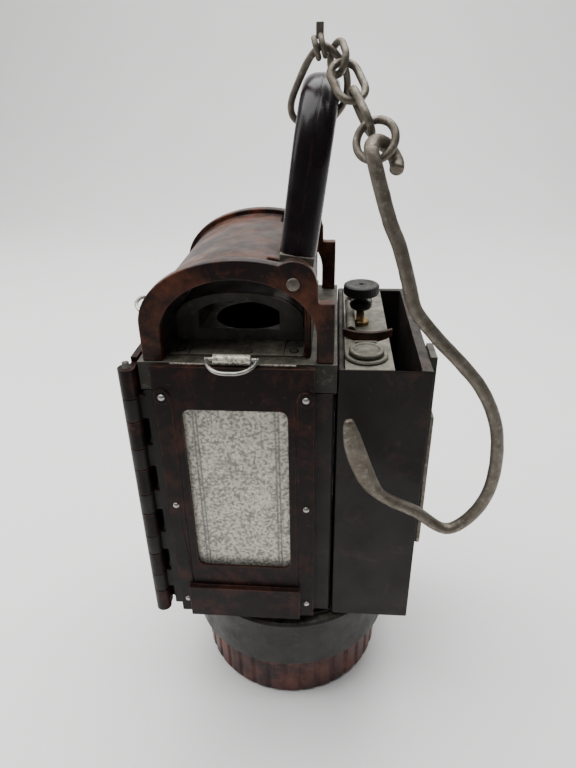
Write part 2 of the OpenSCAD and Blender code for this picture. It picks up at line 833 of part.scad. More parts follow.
module thumb_bar() {
    lower_r = 20;
    upper_r = 34;
    height = 5;
    half = 11.4;
    z = tank_top + 2;
    color(bakelite) translate([filler_x + 0.6, 0, 0])
        upright(lid_hinge_y + 0.9, lid_hinge_y + 2.9) intersection() {
            translate([0, z + lower_r]) circle(lower_r, $fn = 96);
            difference() {
                translate([-half, z]) square([2 * half, 9]);
                translate([0, z + height + upper_r]) circle(upper_r, $fn = 120);
            }
        }
}

// ---------- burner ----------

module gas_pipe() {
    color(brass_dull) difference() {
        union() {
            rod_z(burner_x, burner_y, [plate_z, 138], pipe_r);
            rod_z(burner_x, burner_y, [floor_top, floor_top + 3], 8);
        }
        rod_z(burner_x, burner_y, [plate_z - cut, 138 + cut], pipe_bore);
    }
}

module burner_base() {
    color(brass_dull) translate([burner_x, burner_y, 0]) rotate_extrude() polygon([
        [0.8, 138], [6, 138], [6, 142], [4.5, 143.5], [4.5, 147], [3.4, 148], [0.8, 148]]);
}

module burner_tip() {
    color(steatite) translate([burner_x, burner_y, 148]) {
        cylinder(h = 5, r = 3.2);
        for (side = [-1, 1]) translate([side * 1.4, 0, 4]) rotate([0, side * 38, 0]) {
            cylinder(h = 12, r = 1.9);
            translate([0, 0, 12]) sphere(2.3);
        }
    }
}

module reflector() {
    mid_y = -22;
    outer = 63;
    spread = 46;
    color(tinplate) translate([burner_x, mid_y, 96]) rotate([0, 0, 90 - spread / 2])
        rotate_extrude(angle = spread, $fn = 120) translate([outer - 0.8, 0]) square([0.8, 104]);
}

// ---------- belt hook ----------

belt_y = [-42, -26];
belt_t = 3.2;

module belt_rail() {
    color(dark_sheet) difference() {
        block([tank_x1, tank_x1 + belt_t], belt_y, [164, 222.5]);
        for (z = [176, 210]) rod_x([tank_x1 - cut, tank_x1 + belt_t + cut], -34, z, shank_r + hole_play);
    }
}

module belt_block() {
    color(bakelite) block([tank_x1, tank_x1 + belt_t], [belt_y[0] + 1, belt_y[1] - 1], [152, 163.5]);
}

module belt_tongue() {
    w = belt_y[1] - belt_y[0] - 4;
    mid = (belt_y[0] + belt_y[1]) / 2;
    color(rust_steel) difference() {
        translate([tank_x1 + belt_t, mid, 0]) rotate([90, 0, 90]) linear_extrude(1.8) union() {
            translate([-w / 2, 108 + w / 2]) square([w, 190 - 108 - w / 2]);
            translate([0, 108 + w / 2]) circle(w / 2);
        }
        rod_x([tank_x1, tank_x1 + 8], -34, 176, shank_r + hole_play);
    }
}

module belt_rivets() {
    color(bright_steel) {
        translate([tank_x1 + belt_t + 1.8, -34, 176]) rotate([0, 90, 0])
            rivet(2.2, 1.2, shank_r, belt_t + 1.8 + 3);
        translate([tank_x1 + belt_t, -34, 210]) rotate([0, 90, 0])
            rivet(2.2, 1.2, shank_r, belt_t + 3);
    }
}

// ---------- door ----------

module door_leaf() {
    opening = 2;
    color(bakelite_dark) difference() {
        union() {
            block([-62, leaf_x1], [leaf_y0, leaf_y1], [leaf_z0, leaf_z1]);
            // Rails that hold the cover frame off the leaf and guide the slide
            for (x = [frame_x0, frame_x1 - rail_w])
                block([x, x + rail_w], [frame_back, leaf_y0], [leaf_z0, leaf_z1]);
            block([frame_x0, frame_x1], [frame_back, leaf_y0], [leaf_z0, leaf_z0 + 4]);
            for (i = [0 : door_knuckles - 1])
                let (z0 = hinge_z0 + case_knuckle_h + i * knuckle_pitch, z = [z0, z0 + door_knuckle_h - gap]) {
                    rod_z(hinge_x, hinge_y, z, knuckle_r);
                    block([hinge_x, -62], [leaf_y0, leaf_y1 - 1.4], z);
                }
        }
        translate([window_x, 0, 0]) upright(leaf_y0 - cut, leaf_y1 + cut) window_shape(opening);
        // Dark slots beside the case's knuckles
        for (i = [0 : door_knuckles])
            block([-66, -61.4], [leaf_y0 - cut, leaf_y1 + cut],
                [hinge_z0 + i * knuckle_pitch - gap, hinge_z0 + i * knuckle_pitch + case_knuckle_h]);
        rod_z(hinge_x, hinge_y, [hinge_z0 - cut, seat_z], hinge_pin_r + play);
        for (p = frame_rivets())
            if (p[1] < leaf_z1 - frame_z0)
                rod_y(window_x + p[0], [frame_back - cut, leaf_y1 + cut], frame_z0 + p[1],
                    shank_r + hole_play);
    }
}

module door_frame() {
    sill_w = 60;
    sill_h = 20.5;
    sill_t = 3;
    ear_r = 6;
    color(bakelite) {
        translate([window_x, frame_y, 0]) cover_frame_plate();
        block([window_x - sill_w / 2 - 0.5, window_x + sill_w / 2 - 1], [frame_y - sill_t, frame_y],
            [frame_z0, frame_z0 + sill_h]);
        // Raised ears around the two upper rivets
        for (side = [-1, 1]) difference() {
            rod_y(window_x + side * 32.4, [frame_y - 0.8, frame_y], frame_z0 + 136.5, 3.8);
            rod_y(window_x + side * 32.4, [frame_y - 2, frame_y + 1], frame_z0 + 136.5, shank_r + hole_play);
        }
    }
}

module door_glass() {
    color(glass_tint, 0.4) translate([window_x, frame_y, 0])
        upright(frame_t - glass_t, frame_t) window_shape(glass_lap - 0.2);
}

module door_rivets() {
    color(bright_steel) for (p = frame_rivets())
        let (ear = p[1] > 100)
        translate([window_x + p[0], frame_y - (ear ? 0.8 : 0), frame_z0 + p[1]]) rotate([90, 0, 0])
            rivet(rivet_r, rivet_h, shank_r, ear ? frame_t + 0.8 : frame_t + 3);
}

// ---------- slides and their rings ----------

// A sheet slide drawn about its own middle, with its face from y = 0 to y = slide_t
module slide_sheet(width, curl_y) {
    foot = frame_z0 + 5.5;
    top = seat_z + 0.2;
    difference() {
        union() {
            block([-width / 2, width / 2], [0, slide_t], [foot, top]);
            block([-curl_w / 2, curl_w / 2], [0, slide_t], [top, curl_z]);
            rod_x([-curl_w / 2, curl_w / 2], curl_y, curl_z, curl_r);
        }
        rod_x([-curl_w, curl_w], curl_y, curl_z, curl_bore);
    }
}

module front_slide() {
    color(tinplate) translate([window_x, slide_y0, 0]) slide_sheet(56, front_curl_y - slide_y0);
}

module side_slide() {
    color(tinplate) translate([side_slide_x0, side_window_y, side_slide_raise]) rotate([0, 0, -90])
        slide_sheet(56, side_curl_x - side_slide_x0);
}

// A D shaped finger ring: its bar lies along X and its bow reaches towards -Y
module finger_ring() {
    run = ring_half - ring_bend;
    bar = ring_half + ring_wire + 0.1;
    rod_x([-bar, bar], 0.1, 0, ring_wire + 0.05);
    rod_x([-run, run], -ring_bend, 0, ring_wire);
    for (side = [-1, 1])
        translate([side * run, 0, 0]) rotate([0, 0, side > 0 ? -90 : 180])
            rotate_extrude(angle = 90) translate([ring_bend, 0]) circle(ring_wire, $fn = 20);
}

module front_ring() {
    droop = 14;
    color(bright_steel) translate([window_x, front_curl_y, curl_z]) rotate([droop, 0, 0]) finger_ring();
}

module side_ring() {
    lift = 30;
    color(bright_steel) translate([side_curl_x, side_window_y, curl_z + side_slide_raise])
        rotate([0, 0, -90]) rotate([-lift, 0, 0]) finger_ring();
}

case_body();
base_collar();
tank_box();
side_frame();
side_glass();
side_rivets();
hinge_pin();
top_pan();
hood_plate();
corner_tabs();
hood_screws();
hood();
inner_chimney();
pivot_rivets();
water_tank();
filler_neck();
vent_tube();
rear_cap();
valve_gland();
drip_tube();
gas_pipe();
burner_base();
burner_tip();
reflector();
base_gasket();
belt_rail();
belt_block();
belt_tongue();
belt_rivets();
door_leaf();
door_frame();
door_glass();
door_rivets();
front_slide();
front_ring();
side_slide();
side_ring();
handle_grip();
handle_feet();
sling();
sling_tab();
chain_link_1();
chain_link_2();
chain_link_3();
chain_link_4();
hook();
valve_spindle();
valve_knob();
filler_cap();
thumb_bar();
carbide_can();
carbide_cup();
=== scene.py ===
"""The looks of the moulded carbide lamp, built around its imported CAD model.

Every piece stands in the row frame, in metres: X right, Y to the rear, Z up.
"""
import json
import math

import bmesh
import bpy
from mathutils import Matrix, Vector, noise


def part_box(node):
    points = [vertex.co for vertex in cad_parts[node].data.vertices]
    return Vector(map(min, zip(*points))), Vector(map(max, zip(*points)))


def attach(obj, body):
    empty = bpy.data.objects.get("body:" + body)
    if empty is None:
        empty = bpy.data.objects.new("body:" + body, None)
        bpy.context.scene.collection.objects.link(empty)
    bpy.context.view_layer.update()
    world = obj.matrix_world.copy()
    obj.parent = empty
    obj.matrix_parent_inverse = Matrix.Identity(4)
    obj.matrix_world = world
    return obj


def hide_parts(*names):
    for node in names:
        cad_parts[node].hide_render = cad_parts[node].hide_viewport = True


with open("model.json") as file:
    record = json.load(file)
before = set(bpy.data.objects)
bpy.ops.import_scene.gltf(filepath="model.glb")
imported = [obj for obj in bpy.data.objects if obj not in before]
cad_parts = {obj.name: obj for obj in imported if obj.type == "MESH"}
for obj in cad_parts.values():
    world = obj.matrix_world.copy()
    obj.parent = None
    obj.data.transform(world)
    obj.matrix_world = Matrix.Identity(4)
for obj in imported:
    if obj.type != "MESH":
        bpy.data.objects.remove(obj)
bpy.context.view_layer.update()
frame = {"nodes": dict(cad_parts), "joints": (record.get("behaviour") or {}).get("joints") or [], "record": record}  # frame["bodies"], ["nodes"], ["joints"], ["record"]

MM = 0.001
RECORD = frame["record"]
SLOT_OF = {row["node"]: row["material_slot"] for row in RECORD["subparts"]}
BODY_OF = {
    node: body
    for body, nodes in RECORD["behaviour"]["bodies"].items()
    for node in nodes
}
JOINTS = {joint["name"]: joint for joint in frame["joints"]}
SCENE = bpy.context.scene


# ---------- materials ----------


class Look:
    """A small builder for one node-based material."""

    def __init__(self, name):
        self.material = bpy.data.materials.new(name)
        self.material.use_nodes = True
        self.tree = self.material.node_tree
        self.shader = self.tree.nodes["Principled BSDF"]
        self.place = self.tree.nodes.new("ShaderNodeTexCoord").outputs["Object"]

    def join(self, source, target):
        """Links a socket to an input, or sets the input to a plain value."""
        if isinstance(source, bpy.types.NodeSocket):
            self.tree.links.new(source, target)
        else:
            target.default_value = source

    def noise(self, scale, detail=6.0, rough=0.6, warp=0.0):
        node = self.tree.nodes.new("ShaderNodeTexNoise")
        node.inputs["Scale"].default_value = scale
        node.inputs["Detail"].default_value = detail
        node.inputs["Roughness"].default_value = rough
        node.inputs["Distortion"].default_value = warp
        self.join(self.place, node.inputs["Vector"])
        return node.outputs["Fac"]

    def span(self, value, low, high, to_low=0.0, to_high=1.0):
        """Maps the range low to high onto to_low to to_high, held at its ends."""
        node = self.tree.nodes.new("ShaderNodeMapRange")
        self.join(value, node.inputs["Value"])
        node.inputs["From Min"].default_value = low
        node.inputs["From Max"].default_value = high
        node.inputs["To Min"].default_value = to_low
        node.inputs["To Max"].default_value = to_high
        return node.outputs["Result"]

    def math(self, what, a, b):
        """One sum of two values or sockets, such as ADD or MULTIPLY."""
        node = self.tree.nodes.new("ShaderNodeMath")
        node.operation = what
        self.join(a, node.inputs[0])
        self.join(b, node.inputs[1])
        return node.outputs["Value"]

    def times(self, a, b):
        return self.math("MULTIPLY", a, b)

    def mix(self, share, a, b):
        """Colour a, with share of colour b laid over it."""
        node = self.tree.nodes.new("ShaderNodeMix")
        node.data_type = "RGBA"
        self.join(share, node.inputs["Factor"])
        for value, socket in ((a, node.inputs[6]), (b, node.inputs[7])):
            self.join(value if isinstance(value, bpy.types.NodeSocket) else (*value, 1.0), socket)
        return node.outputs[2]

    def edge(self, radius, low=0.02, high=0.25):
        """1 on edges, 0 on flats: how far a rounded normal leans from the true one."""
        bevel = self.tree.nodes.new("ShaderNodeBevel")
        bevel.samples = 6
        bevel.inputs["Radius"].default_value = radius
        true = self.tree.nodes.new("ShaderNodeNewGeometry").outputs["Normal"]
        dot = self.tree.nodes.new("ShaderNodeVectorMath")
        dot.operation = "DOT_PRODUCT"
        self.join(bevel.outputs["Normal"], dot.inputs[0])
        self.join(true, dot.inputs[1])
        return self.span(self.math("SUBTRACT", 1.0, dot.outputs["Value"]), low, high)

    def upward(self, low=0.6, high=1.0):
        """1 on faces that look up, where dust settles; painted() also uses it to paint light from above
        onto these faces.
        """
        split = self.tree.nodes.new("ShaderNodeSeparateXYZ")
        self.join(self.tree.nodes.new("ShaderNodeNewGeometry").outputs["Normal"], split.inputs[0])
        return self.span(split.outputs["Z"], low, high)

    def bump(self, heights, strength=1.0):
        """heights is a list of (socket, depth in metres)."""
        normal = None
        for height, depth in heights:
            node = self.tree.nodes.new("ShaderNodeBump")
            node.inputs["Strength"].default_value = strength
            node.inputs["Distance"].default_value = depth
            self.join(height, node.inputs["Height"])
            if normal is not None:
                self.join(normal, node.inputs["Normal"])
            normal = node.outputs["Normal"]
        self.join(normal, self.shader.inputs["Normal"])

    def set(self, **sockets):
        """Joins the named values to the shader and returns the finished material."""
        names = {
            "color": "Base Color", "metal": "Metallic", "rough": "Roughness",
            "specular": "Specular IOR Level", "alpha": "Alpha", "ior": "IOR",
        }
        for name, value in sockets.items():
            self.join(value, self.shader.inputs[names[name]])
        return self.material


RESIN_DUST = (0.15, 0.125, 0.10)
# Laid over a sheet's faces that look up: dust, with painted light from above.
SHEET_DUST_AND_TOP_LIGHT = (0.27, 0.25, 0.20)


def bakelite(name, black, brown, worn, red_share, gloss, dust=0.25, specular=0.22):
    """Moulded resin with cloudy brown mottling, lighter worn edges and a little dust on top."""
    look = Look(name)
    cloud = look.noise(38, 9, 0.68, 0.6)
    streak = look.noise(120, 6, 0.7, 0.3)
    speck = look.noise(900, 4, 0.6)
    patch = look.math("ADD", look.times(cloud, 0.65), look.times(streak, 0.35))
    share = look.span(patch, 0.56 - red_share, 0.68 - red_share * 0.6)
    color = look.mix(share, black, brown)
    fleck = look.span(look.noise(260, 5, 0.75), 0.62, 0.75, 0.0, 0.45)
    color = look.mix(fleck, color, worn)
    rub = look.times(look.edge(1.1 * MM), look.span(look.noise(60, 5, 0.7), 0.38, 0.62))
    color = look.mix(look.times(rub, 0.8), color, worn)
    film = look.times(look.upward(), look.span(look.noise(150, 6, 0.7), 0.4, 0.7))
    color = look.mix(look.times(film, dust), color, RESIN_DUST)
    rough = look.span(look.noise(70, 6, 0.65), 0.3, 0.7, gloss, gloss + 0.22)
    look.bump([(speck, 0.03 * MM), (look.noise(55, 3, 0.5), 0.12 * MM)], 0.6)
    return look.set(color=color, rough=rough, specular=specular)


def painted(name, base, grime, light, rough, metal=0.2, dust=0.5):
    """Dull coated sheet with grime, pale scuffs, and dust with painted light on its top faces."""
    look = Look(name)
    cloud = look.span(look.noise(70, 8, 0.7, 0.4), 0.35, 0.68)
    color = look.mix(cloud, base, grime)
    color = look.mix(look.span(look.noise(420, 6, 0.75), 0.55, 0.72, 0, 0.7), color, grime)
    color = look.mix(look.span(look.noise(230, 4, 0.6), 0.6, 0.74, 0, 0.6), color, light)
    color = look.mix(look.times(look.edge(0.8 * MM), 0.6), color, light)
    # Dust and painted light: faces that look up are made lighter, as light from above would make them.
    film = look.times(look.upward(), look.span(look.noise(190, 7, 0.75), 0.36, 0.66))
    color = look.mix(look.times(film, dust), color, SHEET_DUST_AND_TOP_LIGHT)
    look.bump([(look.noise(700, 5, 0.6), 0.05 * MM), (look.noise(60, 3), 0.2 * MM)], 0.6)
    value = look.span(look.noise(90, 5), 0.3, 0.7, rough - 0.1, rough + 0.15)
    return look.set(color=color, rough=value, metal=metal, specular=0.3)


def steel(name, dark, base, bright, rough, metal=0.85, pits=0.08):
    """Aged bare steel: brown-grey with pits and rubbed bright places."""
    look = Look(name)
    color = look.mix(look.span(look.noise(140, 8, 0.72, 0.5), 0.36, 0.64), dark, base)
    color = look.mix(look.span(look.noise(330, 7, 0.75), 0.54, 0.72, 0, 0.85), color, bright)
    color = look.mix(look.times(look.edge(0.6 * MM), 0.6), color, bright)
    pit = look.span(look.noise(1300, 4, 0.7), 0.42, 0.6)
    look.bump([(pit, pits * MM), (look.noise(240, 5), 0.12 * MM)], 0.7)
    value = look.span(look.noise(260, 6, 0.7), 0.3, 0.7, rough - 0.12, rough + 0.16)
    return look.set(color=color, rough=value, metal=metal)


# How deep a vertex of a pressed sheet sits in a groove, from 0 to 1
GROOVE_MARK = "groove"


def tin(name):
    """Bright tinned sheet, thickly mottled with grey spots, with painted shade in its pressed grooves."""
    look = Look(name)
    cloud = look.span(look.noise(160, 6, 0.7), 0.35, 0.65)
    color = look.mix(cloud, (0.83, 0.775, 0.665), (0.63, 0.575, 0.475))
    fine = look.noise(640, 8, 0.74)
    where = look.span(look.noise(85, 5, 0.7), 0.34, 0.62, 0.0, 0.07)
    spots = look.span(look.math("ADD", fine, where), 0.50, 0.60, 0.0, 0.85)
    color = look.mix(spots, color, (0.15, 0.142, 0.122))
    stain = look.span(look.noise(210, 7, 0.8), 0.6, 0.72, 0.0, 0.6)
    color = look.mix(stain, color, (0.26, 0.255, 0.24))
    # Painted shade: each groove is darkened by its depth, as shade would fall in it.
    line = look.tree.nodes.new("ShaderNodeAttribute")
    line.attribute_name = GROOVE_MARK
    color = look.mix(look.times(line.outputs["Fac"], 0.8), color, (0.09, 0.085, 0.075))
    look.bump([(fine, 0.04 * MM)], 0.5)
    rough = look.span(spots, 0, 1, 0.34, 0.6)
    return look.set(color=color, rough=rough, metal=0.25)


def pane(name):
    """Clear glass with a thin uneven film of dust."""
    look = Look(name)
    film = look.span(look.noise(130, 6, 0.7), 0.45, 0.75, 0.07, 0.16)
    color = look.mix(look.noise(200, 4), (0.66, 0.67, 0.61), (0.80, 0.80, 0.74))
    look.bump([(look.noise(40, 2), 0.05 * MM)], 0.3)
    return look.set(color=color, alpha=film, rough=0.06, specular=0.5, ior=1.5)


def ceramic(name):
    """Fired burner stone, pale with brown smoke marks."""
    look = Look(name)
    smoke = look.span(look.noise(500, 6), 0.4, 0.65)
    color = look.mix(smoke, (0.72, 0.69, 0.6), (0.35, 0.31, 0.25))
    look.bump([(look.noise(2200, 3), 0.03 * MM)], 0.5)
    return look.set(color=color, rough=0.75)


def seal(name):
    """Dull black rubber."""
    look = Look(name)
    color = look.mix(look.noise(400, 6), (0.012, 0.012, 0.012), (0.05, 0.048, 0.045))
    look.bump([(look.noise(1500, 3), 0.03 * MM)], 0.5)
    return look.set(color=color, rough=0.7)


def paper(name):
    """The pale floor, with painted shade on it in front of the lamp, where it would throw light up onto
    the front.
    """
    look = Look(name)
    cloud = look.span(look.noise(3, 5, 0.6), 0.3, 0.7)
    color = look.mix(cloud, (0.865, 0.86, 0.85), (0.905, 0.90, 0.89))
    split = look.tree.nodes.new("ShaderNodeSeparateXYZ")
    look.join(look.place, split.inputs[0])
    # Painted shade: the paper darkens in front of the lamp.
    color = look.mix(look.span(split.outputs["Y"], -0.24, -0.6), color, (0.20, 0.20, 0.20))
    look.bump([(look.noise(40, 5), 0.15 * MM)], 0.4)
    return look.set(color=color, rough=0.9, specular=0.15)


MATERIALS = {
    "bakelite": bakelite(
        "bakelite", black=(0.013, 0.007, 0.006), brown=(0.112, 0.036, 0.019), worn=(0.25, 0.11, 0.055),
        red_share=0.10, gloss=0.27, dust=0.3),
    "bakelite_dark": bakelite(
        "bakelite_dark", black=(0.0125, 0.0105, 0.0095), brown=(0.043, 0.021, 0.016),
        worn=(0.09, 0.05, 0.034), red_share=0.03, gloss=0.40, dust=0.35),
    "collar_grey": painted(
        "collar_grey", base=(0.030, 0.029, 0.027), grime=(0.016, 0.015, 0.014),
        light=(0.075, 0.068, 0.06), rough=0.45),
    # Its high dust share also paints its top faces lighter, as light from above would.
    "galvanised": painted(
        "galvanised", base=(0.115, 0.109, 0.086), grime=(0.050, 0.047, 0.036),
        light=(0.27, 0.255, 0.21), rough=0.5, metal=0.15, dust=0.85),
    "tinplate": tin("tinplate"),
    "dark_sheet": painted(
        "dark_sheet", base=(0.042, 0.040, 0.033), grime=(0.020, 0.018, 0.014),
        light=(0.12, 0.11, 0.095), rough=0.5, metal=0.1, dust=0.4),
    "rust_steel": steel(
        "rust_steel", dark=(0.105, 0.088, 0.067), base=(0.19, 0.168, 0.137),
        bright=(0.36, 0.34, 0.30), rough=0.46),
    "bright_steel": steel(
        "bright_steel", dark=(0.30, 0.29, 0.26), base=(0.52, 0.51, 0.48),
        bright=(0.75, 0.74, 0.71), rough=0.32, metal=0.9, pits=0.03),
    "brass_dull": steel(
        "brass_dull", dark=(0.16, 0.10, 0.04), base=(0.34, 0.23, 0.10),
        bright=(0.55, 0.42, 0.2), rough=0.42, metal=0.9, pits=0.03),
    "rubber": seal("rubber"),
    "glass": pane("glass"),
    "steatite": ceramic("steatite"),
}

# Nodes that look a little different from the rest of their slot
OWN_LOOK = {
    "valve_knob": painted(
        "knob_black", base=(0.0085, 0.008, 0.0075), grime=(0.005, 0.0048, 0.0045),
        light=(0.035, 0.032, 0.028), rough=0.45, metal=0.0, dust=0.12),
    "handle_grip": bakelite(
        "handle_resin", black=(0.0075, 0.005, 0.0065), brown=(0.024, 0.010, 0.013),
        worn=(0.07, 0.03, 0.03), red_share=0.02, gloss=0.15, dust=0.06, specular=0.24),
    "carbide_cup": bakelite(
        "cup_resin", black=(0.030, 0.013, 0.012), brown=(0.135, 0.046, 0.034),
        worn=(0.25, 0.13, 0.09), red_share=0.13, gloss=0.30, dust=0.3),
    "top_pan": painted(
        "pan_grey", base=(0.044, 0.041, 0.033), grime=(0.020, 0.019, 0.015),
        light=(0.14, 0.13, 0.105), rough=0.5, metal=0.15, dust=0.45),
    # Painted light: a lighter copy of the dark sheet, so that the chimney in the shadowed mouth is
    # lighter than the sheet's own colour.
    "inner_chimney": painted(
        "chimney_sheet_painted_light", base=(0.15, 0.14, 0.12), grime=(0.07, 0.065, 0.055),
        light=(0.24, 0.22, 0.19), rough=0.6, metal=0.0, dust=0.4),
}
FRAME_LOOK = bakelite(
    "frame_resin", black=(0.0085, 0.0045, 0.0043), brown=(0.050, 0.015, 0.010),
    worn=(0.20, 0.09, 0.055), red_share=0.06, gloss=0.30, dust=0.06, specular=0.14)
OWN_LOOK["door_frame"] = FRAME_LOOK
OWN_LOOK["side_frame"] = FRAME_LOOK


# ---------- meshes ----------


WELD_GAP = 0.002
EDGE_SEGMENTS = 2


def add_piece(mesh, node):
    """Links a mesh as the piece that stands for a CAD node, on that node's body and slot."""
    piece = bpy.data.objects.new(node + "_piece", mesh)
    SCENE.collection.objects.link(piece)
    mesh.materials.clear()
    mesh.materials.append(OWN_LOOK.get(node) or MATERIALS[SLOT_OF[node]])
    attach(piece, BODY_OF[node])
    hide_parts(node)
    return piece


def welded(node, flat=0.0):
    """A copy of a CAD node's mesh with shared corners.

    Faces that lean less than flat degrees from one another are joined.
    """
    form = bmesh.new()
    form.from_mesh(frame["nodes"][node].data)
    bmesh.ops.remove_doubles(form, verts=form.verts, dist=WELD_GAP * MM)
    if flat:
        bmesh.ops.dissolve_limit(
            form, angle_limit=math.radians(flat), verts=form.verts, edges=form.edges,
            use_dissolve_boundaries=False)
    return form


def to_mesh(form, name):
    """Turns a bmesh into a smooth-shaded mesh and frees it."""
    mesh = bpy.data.meshes.new(name)
    bmesh.ops.recalc_face_normals(form, faces=form.faces)
    form.to_mesh(mesh)
    form.free()
    mesh.shade_smooth()
    return mesh


def rounded(node, width):
    """A CAD node with every sharp edge rounded to the given width in mm."""
    piece = add_piece(to_mesh(welded(node, flat=0.3), node), node)
    bevel = piece.modifiers.new("rounded edges", "BEVEL")
    bevel.width = width * MM
    bevel.segments = EDGE_SEGMENTS
    bevel.limit_method = "ANGLE"
    bevel.angle_limit = math.radians(32)
    bevel.use_clamp_overlap = False
    bevel.miter_outer = "MITER_ARC"
    piece.modifiers.new("even shading", "WEIGHTED_NORMAL").keep_sharp = True


def smooth(node, angle):
    """A CAD node that is round already: smooth shading up to the given angle in degrees."""
    mesh = to_mesh(welded(node), node)
    mesh.set_sharp_from_angle(angle=math.radians(angle))
    add_piece(mesh, node)


def forged(node, levels, roughness, grain=180.0):
    """A swept rod made finer, with the slight unevenness of hand-bent wire.

    Roughness is in mm, and grain is in waves per metre.
    """
    form = welded(node)
    bmesh.ops.join_triangles(
        form, faces=form.faces,
        angle_face_threshold=math.radians(50), angle_shape_threshold=math.radians(60))
    piece = add_piece(to_mesh(form, node), node)
    if levels:
        finer = piece.modifiers.new("finer", "SUBSURF")
        finer.levels = finer.render_levels = levels
        mesh = bpy.data.meshes.new_from_object(
            piece.evaluated_get(bpy.context.evaluated_depsgraph_get()))
        piece.modifiers.clear()
        piece.data = mesh
    # All normals are read first, because moving a vertex makes the next one be worked out anew
    leans = [vertex.normal.copy() for vertex in piece.data.vertices]
    for vertex, lean in zip(piece.data.vertices, leans):
        wave = noise.fractal(vertex.co * grain, 0.9, 2.0, 3)
        vertex.co += lean * (roughness * MM * (wave - 0.6))
    piece.data.shade_smooth()


def ring_skin(rings):
    """A closed skin over rings of points, each ring with the same number of points."""
    form = bmesh.new()
    rows = [[form.verts.new(point) for point in ring] for ring in rings]
    count = len(rows[0])
    for low, high in zip(rows, rows[1:]):
        for i in range(count):
            j = (i + 1) % count
            form.faces.new((low[i], low[j], high[j], high[i]))
    form.faces.new(rows[0][::-1])
    form.faces.new(rows[-1])
    return form


def strip_skin(outline, x0, x1):
    """A closed outline in (y, z), drawn out along X between x0 and x1, in mm."""
    rings = [[Vector((x, y, z)) * MM for y, z in outline] for x in (x0, x1)]
    return ring_skin(rings)


def lathe(outline, centre, steps, knurl):
    """Turns an outline of (radius, height) in mm about a vertical axis.

    knurl(radius, height, turn) gives the radius at each turn.
    """
    form = bmesh.new()
    rows = []
    for i in range(steps):
        turn = 2 * math.pi * i / steps
        row = []
        for r, z in outline:
            radius = knurl(r, z, turn) * MM
            x = centre.x + radius * math.cos(turn)
            y = centre.y + radius * math.sin(turn)
            row.append(form.verts.new(Vector((x, y, z * MM))))
        rows.append(row)
    for i in range(steps):
        a, b = rows[i], rows[(i + 1) % steps]
        for k in range(len(outline) - 1):
            form.faces.new((a[k], b[k], b[k + 1], a[k + 1]))
    bmesh.ops.remove_doubles(form, verts=form.verts, dist=0.001 * MM)
    return form


# ---------- handle ----------

# Lengths in mm, measured from the handle's pivot
HANDLE_LEAN = math.radians(8)
GRIP_REACH = 70.5
LEG_Y = 40.3
GRIP_BEND = 26.0
FOOT_TOP = 10.0
LEG_HALF_X = 7.6
LEG_HALF_Y = 6.0
LEG_STEPS = 12
BEND_STEPS = 16
TOP_STEPS = 4
# The section is a superellipse of this power
SECTION_POWER = 2.35
SEAM_HEIGHT = 0.22
SEAM_GROOVE = 0.05
# Directions in degrees close to the seam at 90, where the section has extra points
SEAM_TURNS = (84, 87, 88.4, 89.2, 90.8, 91.6, 93, 96)


def handle_path():
    """Points (y, z) along the bail from the front foot to the rear one, with their outward directions."""
    path = []
    rise = GRIP_REACH - GRIP_BEND
    for k in range(LEG_STEPS + 1):
        path.append(((-LEG_Y, FOOT_TOP + (rise - FOOT_TOP) * k / LEG_STEPS), (-1.0, 0.0)))
    for k in range(1, BEND_STEPS + 1):
        turn = math.pi / 2 * k / BEND_STEPS
        y = -LEG_Y + GRIP_BEND - GRIP_BEND * math.cos(turn)
        z = rise + GRIP_BEND * math.sin(turn)
        path.append(((y, z), (-math.cos(turn), math.sin(turn))))
    for k in range(1, TOP_STEPS):
        path.append((((-LEG_Y + GRIP_BEND) * (1 - k / TOP_STEPS), GRIP_REACH), (0.0, 1.0)))
    front = list(path)
    path.append(((0.0, GRIP_REACH), (0.0, 1.0)))
    return path + [((-y, z), (-oy, oz)) for (y, z), (oy, oz) in reversed(front)]


def grip_section(wide, thick):
    """The bail's section: a flattened oval with a fine raised seam on its outer and inner sides."""
    turns = [k * 7.5 for k in range(48)]
    turns = [t for t in turns if not (81 < t < 99 or 261 < t < 279)]
    turns += SEAM_TURNS
    turns += [t + 180 for t in SEAM_TURNS]
    points = []
    for turn in sorted(turns):
        a = math.radians(turn)
        across, out = math.cos(a), math.sin(a)
        x = wide * math.copysign(abs(across) ** (2 / SECTION_POWER), across)
        y = thick * math.copysign(abs(out) ** (2 / SECTION_POWER), out)
        off = min(abs(turn - 90), abs(turn - 270))
        if off < 1.2:
            y += math.copysign(SEAM_HEIGHT, out)
        elif off < 2.2:
            y -= math.copysign(SEAM_GROOVE, out)
        points.append((x, y))
    return points


def make_handle():
    """The moulded bail, a little thicker towards its top."""
    pivot = Vector(JOINTS["handle_swing"]["pos_m"])
    lean = Matrix.Rotation(HANDLE_LEAN, 4, "Y")
    rings = []
    for (y, z), (out_y, out_z) in handle_path():
        wide = LEG_HALF_X + 0.3 * math.cos(math.radians(2 * y))
        thick = LEG_HALF_Y + 0.9 * max(0.0, z - 20) / GRIP_REACH - 0.25
        ring = []
        for x, out in grip_section(wide, thick):
            local = Vector((x, y + out * out_y, z + out * out_z)) * MM
            ring.append(pivot + lean @ local)
        rings.append(ring)
    mesh = to_mesh(ring_skin(rings), "handle_grip")
    mesh.set_sharp_from_angle(angle=math.radians(50))
    add_piece(mesh, "handle_grip")


# ---------- slides ----------


# Lengths in mm
SLIDE_W = 56
SLIDE_T = 0.8
SLIDE_STEP = 0.35
GLASS_GAP = 0.3
